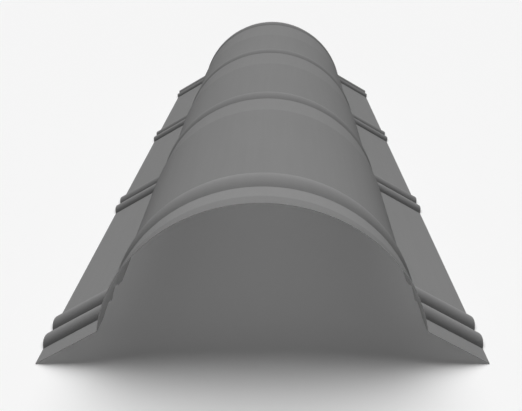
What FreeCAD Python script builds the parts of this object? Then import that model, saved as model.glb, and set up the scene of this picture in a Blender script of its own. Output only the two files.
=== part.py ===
"""Half-round roof ridge cap, pressed from one piece of coated steel sheet.

Frame: X across the ridge, Y along it, Z up. The origin is on the level that the cap's flange edges lie on,
midway along and across the cap. The front end, with the longer lip, is at -Y.

The barrel is pressed into sections, each a little wider at its rear end. At a joint a section comes up out of
a groove on a ramp, and the groove lies in front of a round ring. Two beads cross each flange at a joint.

The sheet is what lies between two filled forms. The upper form has the sheet's upper face and the lower form,
inset by the sheet's thickness, has its lower face. Both are made by the same functions.
"""
import FreeCAD, Part
import os

# Driving sizes, in millimetres and degrees: name, value, meaning.
DRIVING_SIZES = [
    ("sheet_thickness", 0.5, "thickness of the coated sheet"),
    ("barrel_radius", 110, "radius of the barrel's upper face, midway along a section"),
    ("section_taper", 4.6, "growth of that radius along a section, from front to rear"),
    ("barrel_half_angle", 79, "angle of the barrel from its top to its foot"),
    ("flange_width", 51, "width of a side flange, along its slope"),
    ("flange_slope", 30, "fall of a flange, outwards"),
    ("joint_count", 4, "number of pressed joints along the cap"),
    ("joint_pitch", 245, "distance from joint to joint"),
    ("front_lip", 17.8, "plain sheet in front of the first joint's beads"),
    ("rear_lip", 8.7, "plain sheet behind the last joint's beads"),
    ("bead_width", 22, "width of a flange bead"),
    ("bead_pitch", 23.5, "distance between the two beads of a joint"),
    ("bead_height", 3.7, "height of a bead above the flange"),
    ("ring_radius", 46, "radius of a ring's rounded back, in section"),
    ("ring_height", 2.2, "height of a ring above the section behind it, at the top of the barrel"),
    ("ring_drop", 1.2, "drop of a ring's centre below the barrel's axis"),
    ("groove_depth", 2.2, "depth of a groove below its ring, at the top of the barrel"),
    ("groove_half_angle", 120, "angle from the top at which a groove's circle would meet the barrel's own"),
    ("ramp_length", 27, "length of the first section's ramp, at the top of the barrel"),
    ("ramp_growth", 28, "growth of the ramp from one section to the next"),
]

# Sizes that follow from the driving ones: name, formula.
WORKED_OUT_SIZES = [
    ("cap_length", "=front_lip + (joint_count - 1) * joint_pitch + bead_pitch + bead_width + rear_lip"),
    ("front_end", "=-cap_length / 2"),
    ("foot_x", "=barrel_radius * sin(barrel_half_angle)"),
    ("foot_z", "=flange_width * sin(flange_slope) + sheet_thickness * cos(flange_slope)"),
    ("axis_z", "=foot_z - barrel_radius * cos(barrel_half_angle)"),
    ("wide_radius", "=barrel_radius + section_taper / 2"),
    ("narrow_radius", "=barrel_radius - section_taper / 2"),
    ("bead_radius", "=(bead_width ^ 2 / 4 + bead_height ^ 2) / (2 * bead_height)"),
    ("ring_top", "=narrow_radius + ring_height"),
    ("ring_circle", "=ring_top + ring_drop - ring_radius"),
    ("ring_half_angle", "=acos(1 - (ring_height + ring_drop) / ring_radius)"),
    ("ring_reach", "=sqrt(ring_radius ^ 2 - (ring_radius - groove_depth) ^ 2)"),
    ("groove_top", "=ring_top - groove_depth"),
    ("groove_radius", "=groove_top + (wide_radius ^ 2 - groove_top ^ 2)"
                      " / (2 * (groove_top - wide_radius * cos(groove_half_angle)))"),
    ("tool_overrun", "=bead_width"),
]

document = FreeCAD.newDocument("RidgeCap")
sheet = document.addObject("Spreadsheet::Sheet", "Sizes")


def fill_sheet():
    """Write the driving sizes, then the sizes that follow from them, each under its own alias."""
    rows = [(name, str(value), meaning) for name, value, meaning in DRIVING_SIZES]
    rows += [(name, formula, "worked out") for name, formula in WORKED_OUT_SIZES]
    for row, (name, content, meaning) in enumerate(rows, start=1):
        sheet.set(f"A{row}", name)
        sheet.set(f"B{row}", content)
        sheet.set(f"C{row}", meaning)
        sheet.setAlias(f"B{row}", name)
    document.recompute()


def bind(item, turn_axis=None, turn=None, **formulas):
    """Bind an object's properties, its place (x, y, z) and its turn about an axis to formulas of the sheet."""
    places = {"x": "Placement.Base.x", "y": "Placement.Base.y", "z": "Placement.Base.z"}
    if turn_axis is not None:
        item.Placement.Rotation = FreeCAD.Rotation(FreeCAD.Vector(*turn_axis), 1)
        item.setExpression("Placement.Rotation.Angle", turn)
    for key, formula in formulas.items():
        item.setExpression(places.get(key, key), formula)
    return item


def add(kind, name, turn_axis=None, turn=None, **formulas):
    """Add an object and bind it."""
    return bind(document.addObject(kind, name), turn_axis, turn, **formulas)


def fuse(name, items):
    """Join several objects into one."""
    joined = document.addObject("Part::MultiFuse", name)
    joined.Shapes = items
    return joined


def cut(name, base, tool):
    """Take one object away from another."""
    rest = document.addObject("Part::Cut", name)
    rest.Base = base
    rest.Tool = tool
    return rest


def mirror_across(name, source):
    """Copy an object to the other side of the ridge."""
    mirrored = document.addObject("Part::Mirroring", name)
    mirrored.Source = source
    mirrored.Normal = FreeCAD.Vector(1, 0, 0)
    return mirrored


def bead_place(joint, bead):
    """Formula for the Y of a bead's middle. Bead 0 is the front one of its joint, and bead 1 meets the ring."""
    return (f"(Sizes.front_end + Sizes.front_lip + Sizes.bead_width / 2"
            f" + {joint} * Sizes.joint_pitch + {bead} * Sizes.bead_pitch)")


def ring_place(joint):
    """Formula for the Y of a ring's middle."""
    return bead_place(joint, 1)


def radius_before_ring(distance):
    """Formula for a section's radius at a distance in front of the ring at its rear end."""
    return f"(Sizes.wide_radius - Sizes.section_taper * ({distance}) / Sizes.joint_pitch)"


def ramp_cutter(form, joint, inset):
    """The space over a ramp, which rises forwards out of the groove until it meets the section's own surface."""
    ramp = f"(Sizes.ramp_length + {joint} * Sizes.ramp_growth)"
    groove_y = f"({ring_place(joint)} - Sizes.ring_reach)"
    rise = f"({radius_before_ring(f'{ramp} + Sizes.ring_reach')} - Sizes.groove_top)"
    tilt = f"atan({rise} / {ramp})"
    run_up = "(3 * Sizes.tool_overrun)"
    block = add("Part::Box", f"{form}_ramp_block_{joint}",
                Length="2 * (Sizes.wide_radius + Sizes.tool_overrun)",
                Width=f"{ramp} + Sizes.ring_reach + 2 * Sizes.tool_overrun",
                Height="Sizes.wide_radius + Sizes.tool_overrun",
                x="-Sizes.wide_radius - Sizes.tool_overrun",
                y=f"{groove_y} - {ramp} - Sizes.tool_overrun",
                z="Sizes.axis_z")
    roller = add("Part::Cylinder", f"{form}_ramp_roller_{joint}", (1, 0, 0), f"90 deg - {tilt}",
                 Radius=f"Sizes.groove_radius - {inset}",
                 Height=f"{ramp} + 2 * {run_up}",
                 y=f"{groove_y} - Sizes.groove_radius * sin({tilt}) + {run_up} * cos({tilt})",
                 z=f"Sizes.axis_z + Sizes.groove_top - Sizes.groove_radius * cos({tilt}) - {run_up} * sin({tilt})")
    return cut(f"{form}_ramp_cutter_{joint}", block, roller)


def section(form, joint, inset, overrun):
    """The section in front of a joint, from the ring before it or from the front end, with its ramp."""
    front = f"(Sizes.front_end - {overrun})" if joint == 0 else ring_place(joint - 1)
    length = f"({ring_place(joint)} - {front})"
    cone = add("Part::Cone", f"{form}_section_{joint}", (1, 0, 0), "-90",
               Radius1=f"{radius_before_ring(length)} - {inset}",
               Radius2=f"Sizes.wide_radius - {inset}",
               Height=length,
               y=front,
               z="Sizes.axis_z")
    return cut(f"{form}_ramped_section_{joint}", cone, ramp_cutter(form, joint, inset))


def rear_stub(form, joint, inset, overrun):
    """The short start of a section behind the last ring."""
    length = f"(-Sizes.front_end + {overrun} - {ring_place(joint)})"
    return add("Part::Cone", f"{form}_rear_stub", (1, 0, 0), "-90",
               Radius1=f"Sizes.narrow_radius - {inset}",
               Radius2=f"Sizes.narrow_radius + Sizes.section_taper * {length} / Sizes.joint_pitch - {inset}",
               Height=length,
               y=ring_place(joint),
               z="Sizes.axis_z")


def ring(form, joint, inset):
    """The low ring behind a groove: the outer slice of a torus, down to the start of the next section.

    Its centre is below the barrel's axis, so it stands less high at the top than at the feet.
    """
    return add("Part::Torus", f"{form}_ring_{joint}", (1, 0, 0), "-90",
               Radius1="Sizes.ring_circle",
               Radius2=f"Sizes.ring_radius - {inset}",
               Angle1="-Sizes.ring_half_angle",
               Angle2="Sizes.ring_half_angle",
               y=ring_place(joint),
               z="Sizes.axis_z - Sizes.ring_drop")


def flange_bead(form, joint, bead, inset, overrun):
    """A round bead across a level flange, from its outer edge into the barrel."""
    return add("Part::Cylinder", f"{form}_bead_{joint}_{bead}", (0, 1, 0), "90",
               Radius=f"Sizes.bead_radius - {inset}",
               Height=f"Sizes.bead_width + Sizes.flange_width + {overrun}",
               x="-Sizes.bead_width",
               y=bead_place(joint, bead),
               z="Sizes.bead_height - Sizes.bead_radius")


def flange(form, joints, inset, overrun):
    """The right flange with its beads, over a slab that reaches down and into the barrel.

    It is made level, with its inner edge on the Y axis, and then tilted and moved to the barrel's foot.
    """
    depth = f"(2 * Sizes.barrel_radius + {overrun})"
    reach = f"(Sizes.barrel_radius / 2 + {overrun})"
    slab = add("Part::Box", f"{form}_slab",
               Length=f"{reach} + Sizes.flange_width + {overrun}",
               Width=f"Sizes.cap_length + 2 * {overrun}",
               Height=depth,
               x=f"-{reach}",
               y=f"Sizes.front_end - {overrun}",
               z=f"-{depth} - {inset}")
    beads = [flange_bead(form, joint, bead, inset, overrun) for joint in joints for bead in (0, 1)]
    beaded = fuse(f"{form}_flange", [slab] + beads)
    return bind(beaded, (0, 1, 0), "Sizes.flange_slope", x="Sizes.foot_x", z="Sizes.foot_z")


def filled_form(form, joints, inset, overrun):
    """Everything under one face of the sheet."""
    barrel = [section(form, joint, inset, overrun) for joint in joints]
    barrel += [ring(form, joint, inset) for joint in joints]
    barrel.append(rear_stub(form, joints[-1], inset, overrun))
    right = flange(form, joints, inset, overrun)
    left = mirror_across(f"{form}_flange_left", right)
    return fuse(form, barrel + [right, left])


def check(items):
    """Stop if an object failed to recompute or its shape is missing or invalid."""
    for item in items:
        if "Invalid" in item.State or "Error" in item.State:
            raise RuntimeError(f"{item.Name} failed: {item.State}")
        if hasattr(item, "Shape") and (item.Shape.isNull() or not item.Shape.isValid()):
            raise RuntimeError(f"{item.Name} has no valid shape")


fill_sheet()
joints = range(int(sheet.get("joint_count")))
upper_form = filled_form("upper_form", joints, "0", "0")
lower_form = filled_form("lower_form", joints, "Sizes.sheet_thickness", "Sizes.tool_overrun")
ridge_cap = cut("ridge_cap", upper_form, lower_form)
ridge_cap.Label = "ridge_cap"
document.recompute()
check(document.Objects)
if len(ridge_cap.Shape.Solids) != 1:
    raise RuntimeError(f"ridge_cap has {len(ridge_cap.Shape.Solids)} solids")

os.makedirs("parts", exist_ok=True)
ridge_cap.Shape.exportStep(f"parts/{ridge_cap.Label}.step")
print(f"ridge_cap: {ridge_cap.Shape.Volume / 1000:.1f} cm3, {len(ridge_cap.Shape.Faces)} faces")
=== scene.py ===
"""Half-round ridge cap of grey coated steel sheet on a pale studio floor."""
import math

import bpy
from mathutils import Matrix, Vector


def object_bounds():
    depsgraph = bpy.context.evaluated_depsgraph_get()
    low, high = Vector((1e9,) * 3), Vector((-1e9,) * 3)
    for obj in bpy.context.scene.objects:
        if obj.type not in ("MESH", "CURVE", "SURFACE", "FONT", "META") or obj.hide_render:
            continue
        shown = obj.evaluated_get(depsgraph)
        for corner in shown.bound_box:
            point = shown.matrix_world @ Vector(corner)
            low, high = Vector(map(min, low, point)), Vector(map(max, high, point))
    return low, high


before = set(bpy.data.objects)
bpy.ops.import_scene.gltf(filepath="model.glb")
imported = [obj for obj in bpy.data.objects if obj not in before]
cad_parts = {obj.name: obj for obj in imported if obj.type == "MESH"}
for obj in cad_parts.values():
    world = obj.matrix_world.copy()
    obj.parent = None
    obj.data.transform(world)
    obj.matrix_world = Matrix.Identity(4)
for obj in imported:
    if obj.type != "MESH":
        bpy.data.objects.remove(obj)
cad_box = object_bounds()
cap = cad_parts["ridge_cap"]

# Camera, in metres and degrees, from the photograph's framing.
IMAGE_WIDTH = 522
FOCAL_LENGTH_PIXELS = 737
SENSOR_WIDTH_MM = 36
PRINCIPAL_POINT_OFFSET_PIXELS = 17.94
CAMERA_PITCH = 21.87
CAMERA_HEIGHT = 0.2825
CAMERA_SIDE = 0.011
CAMERA_BEFORE_FRONT = 0.4187

# Lamps: strength, then angular size and height over the horizon in degrees.
# Two stand behind the cap. The third is straight below it, and takes the place
# of the light that the floor throws up into the hollow.
CAP_LIGHT = {"strength": 5.08, "size": 30, "height": 42}
FLOOR_LIGHT = {"strength": 3.27, "size": 70, "height": 64}
UNDER_LIGHT = {"strength": 1.53, "size": 110, "height": -90}

# World: an even fill, and a low wall that reaches to the given sine over the horizon.
FILL_STRENGTH = 0.06
WALL_STRENGTH = 0.9
WALL_RISE = 0.03

# Floor: half its width in metres, and its linear grey for the camera and for the cap.
FLOOR_HALF_WIDTH = 200.0
FLOOR = 0.92
FLOOR_SEEN_BY_CAP = 0.35

# Linear greys of the cap.
TOP_COAT = 0.207
# The underside's pale grey is partly the real backing coat and partly painted light that
# lifts the shaded hollow.
BACK_COAT_AND_PAINTED_LIGHT = 0.5
CUT_EDGE = 0.5

# Parts of the normal beyond which a face looks down, outwards or along the ridge.
DOWN_LIMIT = -0.02
OUT_LIMIT = 0.5
END_LIMIT = 0.98

# Noise in the coat, and how much of each kind goes into its tone.
CLOUD = {"per_metre": 9, "detail": 3}
GRAIN = {"per_metre": 1400, "detail": 2}
STREAK = {"per_metre": 260, "detail": 3}
STREAK_STRETCH = (1.0, 0.03, 1.0)
CLOUD_TONE = 0.08
GRAIN_TONE = 0.06
STREAK_TONE = 0.06
LOWEST_TONE = 0.9

# Gloss of the coat and of the cut edges.
COAT_ROUGHNESS = 0.5
CLOUD_ROUGHNESS = 0.1
EDGE_ROUGHNESS = 0.4
SPECULAR_LEVEL = 0.1

# Fine relief of the coat, its depth in metres.
ORANGE_PEEL = {"per_metre": 520, "detail": 2}
ORANGE_PEEL_GRAIN = 0.3
ORANGE_PEEL_DEPTH = 0.00005


def make_camera():
    """The photograph's view: low, from the front end, looking down along the ridge."""
    data = bpy.data.cameras.new("camera")
    data.sensor_width = SENSOR_WIDTH_MM
    data.lens = FOCAL_LENGTH_PIXELS / IMAGE_WIDTH * SENSOR_WIDTH_MM
    data.shift_x = -PRINCIPAL_POINT_OFFSET_PIXELS / IMAGE_WIDTH
    camera = bpy.data.objects.new("camera", data)
    front = cad_box[0].y
    camera.location = (CAMERA_SIDE, front - CAMERA_BEFORE_FRONT, CAMERA_HEIGHT)
    camera.rotation_euler = (math.radians(90 - CAMERA_PITCH), 0, 0)
    bpy.context.scene.collection.objects.link(camera)
    bpy.context.scene.camera = camera


def make_group(name, member):
    """A collection for light linking that holds one object."""
    group = bpy.data.collections.new(name)
    group.objects.link(member)
    return group


def make_light(name, receiver, strength, size, height):
    """A soft distant lamp that lights one object.

    Only the cap casts its shadow, and nothing mirrors the lamp.
    """
    data = bpy.data.lights.new(name, "SUN")
    data.energy = strength
    data.angle = math.radians(size)
    lamp = bpy.data.objects.new(name, data)
    lamp.rotation_euler = (-math.radians(90 - height), 0, 0)
    lamp.visible_glossy = False
    lamp.light_linking.receiver_collection = make_group(f"{name}_receivers", receiver)
    lamp.light_linking.blocker_collection = make_group(f"{name}_blockers", cap)
    bpy.context.scene.collection.objects.link(lamp)


class NodeTree:
    """Short ways of adding nodes to a material or to the world."""

    def __init__(self, owner):
        owner.use_nodes = True
        self.tree = owner.node_tree

    def put(self, socket, value):
        """Feed a socket from another socket or with a constant."""
        if isinstance(value, bpy.types.NodeSocket):
            self.tree.links.new(value, socket)
        else:
            socket.default_value = value

    def math(self, operation, first, second=0.0):
        """Sum, product, comparison and the like of two values."""
        node = self.tree.nodes.new("ShaderNodeMath")
        node.operation = operation
        self.put(node.inputs[0], first)
        self.put(node.inputs[1], second)
        return node.outputs[0]

    def mix(self, factor, first, second):
        """A value between two others."""
        node = self.tree.nodes.new("ShaderNodeMix")
        self.put(node.inputs["Factor"], factor)
        self.put(node.inputs["A"], first)
        self.put(node.inputs["B"], second)
        return node.outputs["Result"]

    def split(self, vector):
        """The three parts of a vector."""
        node = self.tree.nodes.new("ShaderNodeSeparateXYZ")
        self.put(node.inputs[0], vector)
        return node.outputs["X"], node.outputs["Y"], node.outputs["Z"]

    def stretch(self, vector, scale):
        """A vector with each part scaled on its own."""
        node = self.tree.nodes.new("ShaderNodeVectorMath")
        node.operation = "MULTIPLY"
        self.put(node.inputs[0], vector)
        node.inputs[1].default_value = scale
        return node.outputs["Vector"]

    def noise(self, vector, per_metre, detail):
        """Noise from 0 to 1 with so many grains in a metre."""
        node = self.tree.nodes.new("ShaderNodeTexNoise")
        self.put(node.inputs["Vector"], vector)
        node.inputs["Scale"].default_value = per_metre
        node.inputs["Detail"].default_value = detail
        return node.outputs["Fac"]

    def bump(self, height, depth):
        """Relief of a given depth in metres."""
        node = self.tree.nodes.new("ShaderNodeBump")
        node.inputs["Strength"].default_value = 1.0
        node.inputs["Distance"].default_value = depth
        self.put(node.inputs["Height"], height)
        return node.outputs["Normal"]


def make_world():
    """A weak even fill from all round, with a low pale wall behind the floor's edge."""
    world = bpy.data.worlds.new("studio")
    nodes = NodeTree(world)
    place = nodes.tree.nodes.new("ShaderNodeTexCoord")
    _, _, rise = nodes.split(place.outputs["Generated"])
    wall = nodes.math("LESS_THAN", nodes.math("ABSOLUTE", rise), WALL_RISE)
    background = nodes.tree.nodes["Background"]
    background.inputs["Color"].default_value = (1, 1, 1, 1)
    nodes.put(background.inputs["Strength"], nodes.mix(wall, FILL_STRENGTH, WALL_STRENGTH))
    bpy.context.scene.world = world


def make_floor():
    """A plain pale floor at the level that the cap lies on.

    It throws little of its light back onto the cap, and the cap's coat doesn't mirror it.
    """
    mesh = bpy.data.meshes.new("floor")
    far = FLOOR_HALF_WIDTH
    corners = [(-far, -far, 0), (far, -far, 0), (far, far, 0), (-far, far, 0)]
    mesh.from_pydata(corners, [], [(0, 1, 2, 3)])
    floor = bpy.data.objects.new("floor", mesh)
    bpy.context.scene.collection.objects.link(floor)
    material = bpy.data.materials.new("floor")
    nodes = NodeTree(material)
    shader = nodes.tree.nodes["Principled BSDF"]
    bounced = nodes.tree.nodes.new("ShaderNodeLightPath").outputs["Is Diffuse Ray"]
    nodes.put(shader.inputs["Base Color"], nodes.mix(bounced, FLOOR, FLOOR_SEEN_BY_CAP))
    shader.inputs["Roughness"].default_value = 1.0
    shader.inputs["Specular IOR Level"].default_value = 0.0
    mesh.materials.append(material)
    floor.visible_glossy = False
    return floor


def paint_cap():
    """Grey coil coating on the upper face, a paler backing coat below, and dull cut edges.
    The underside's paler grey is partly the real backing coat and partly painted light that
    lifts the shaded hollow.
    """
    material = bpy.data.materials.new("coated_steel_finish")
    nodes = NodeTree(material)
    shader = nodes.tree.nodes["Principled BSDF"]
    place = nodes.tree.nodes.new("ShaderNodeTexCoord")
    spot = place.outputs["Object"]
    across, along, up = nodes.split(place.outputs["Normal"])
    side, _, _ = nodes.split(spot)

    outwards = nodes.math("MULTIPLY", across, nodes.math("SIGN", side))
    faces_down = nodes.math("LESS_THAN", up, DOWN_LIMIT)
    faces_out = nodes.math("GREATER_THAN", outwards, OUT_LIMIT)
    outer_edge = nodes.math("MULTIPLY", faces_down, faces_out)
    end_edge = nodes.math("GREATER_THAN", nodes.math("ABSOLUTE", along), END_LIMIT)
    cut_edge = nodes.math("MAXIMUM", outer_edge, end_edge)
    underside = nodes.math("SUBTRACT", faces_down, outer_edge)

    cloud = nodes.noise(spot, **CLOUD)
    grain = nodes.noise(spot, **GRAIN)
    streak = nodes.noise(nodes.stretch(spot, STREAK_STRETCH), **STREAK)
    tone = LOWEST_TONE
    for mark, share in ((cloud, CLOUD_TONE), (grain, GRAIN_TONE), (streak, STREAK_TONE)):
        tone = nodes.math("ADD", tone, nodes.math("MULTIPLY", mark, share))
    # Underside grey: partly the real backing coat, partly painted light lifting the shaded
    # hollow.
    grey = nodes.mix(underside, TOP_COAT, BACK_COAT_AND_PAINTED_LIGHT)
    grey = nodes.mix(cut_edge, grey, CUT_EDGE)
    nodes.put(shader.inputs["Base Color"], nodes.math("MULTIPLY", grey, tone))

    rough = nodes.math("ADD", nodes.math("MULTIPLY", cloud, CLOUD_ROUGHNESS), COAT_ROUGHNESS)
    nodes.put(shader.inputs["Roughness"], nodes.mix(cut_edge, rough, EDGE_ROUGHNESS))
    shader.inputs["Specular IOR Level"].default_value = SPECULAR_LEVEL
    peel = nodes.noise(spot, **ORANGE_PEEL)
    peel = nodes.math("ADD", peel, nodes.math("MULTIPLY", grain, ORANGE_PEEL_GRAIN))
    nodes.put(shader.inputs["Normal"], nodes.bump(peel, ORANGE_PEEL_DEPTH))

    cap.material_slots[0].link = "OBJECT"
    cap.material_slots[0].material = material


make_camera()
make_world()
floor = make_floor()
paint_cap()
make_light("cap_light", cap, **CAP_LIGHT)
make_light("floor_light", floor, **FLOOR_LIGHT)
make_light("under_light", cap, **UNDER_LIGHT)
bpy.context.scene.view_settings.view_transform = "Standard"
